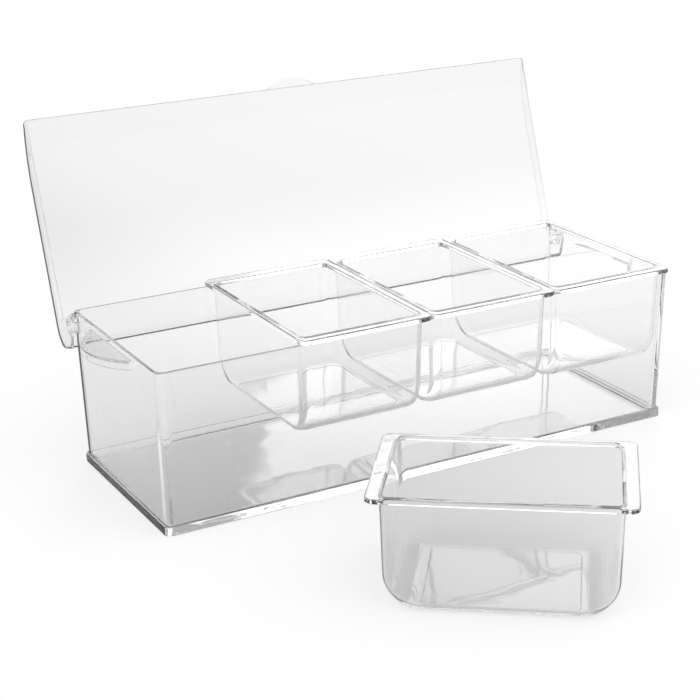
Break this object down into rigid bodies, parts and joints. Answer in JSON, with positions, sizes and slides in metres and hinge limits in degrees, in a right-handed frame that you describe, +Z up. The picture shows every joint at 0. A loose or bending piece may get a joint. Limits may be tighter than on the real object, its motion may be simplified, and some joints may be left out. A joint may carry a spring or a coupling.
{
  "type": "condiment caddy",
  "caption": "Clear plastic condiment server: long ice tub with a domed flip lid hinged at the back and lift-out trays that hang by their rims.",
  "frame": {"origin": "middle of the tub's flat underside, on the table", "axes": "+X along the tub to the right, +Y to the back where the lid is hinged, +Z up"},
  "size_m": [0.434, 0.4461, 0.2426],
  "materials": {
    "clear_tub": "clear moulded styrene, polished",
    "clear_lid": "clear moulded styrene, polished",
    "clear_tray": "clear moulded styrene, polished"
  },
  "bodies": {
    "tub": {"tub": "clear_tub"},
    "lid": {"lid": "clear_lid"},
    "tray_bay_2": {"tray_bay_2": "clear_tray"},
    "tray_bay_3": {"tray_bay_3": "clear_tray"},
    "tray_bay_4": {"tray_bay_4": "clear_tray"},
    "tray_loose": {"tray_loose": "clear_tray"}
  },
  "joints": [
    {"name": "lid_hinge", "type": "hinge", "parent": "tub", "child": "lid", "pos_m": [0, 0.0659, 0.1028], "axis": [-1, 0, 0], "range_deg": [-108.6, 0]},
    {"name": "tray_bay_2_lift", "type": "slide", "parent": "tub", "child": "tray_bay_2", "axis": [0, 0, 1], "range_m": [0, 0.12]},
    {"name": "tray_bay_3_lift", "type": "slide", "parent": "tub", "child": "tray_bay_3", "axis": [0, 0, 1], "range_m": [0, 0.12]},
    {"name": "tray_bay_4_lift", "type": "slide", "parent": "tub", "child": "tray_bay_4", "axis": [0, 0, 1], "range_m": [0, 0.12]},
    {"name": "tray_loose_lift", "type": "slide", "parent": "tub", "child": "tray_loose", "axis": [0, 0, 1], "range_m": [0, 0.12]}
  ]
}
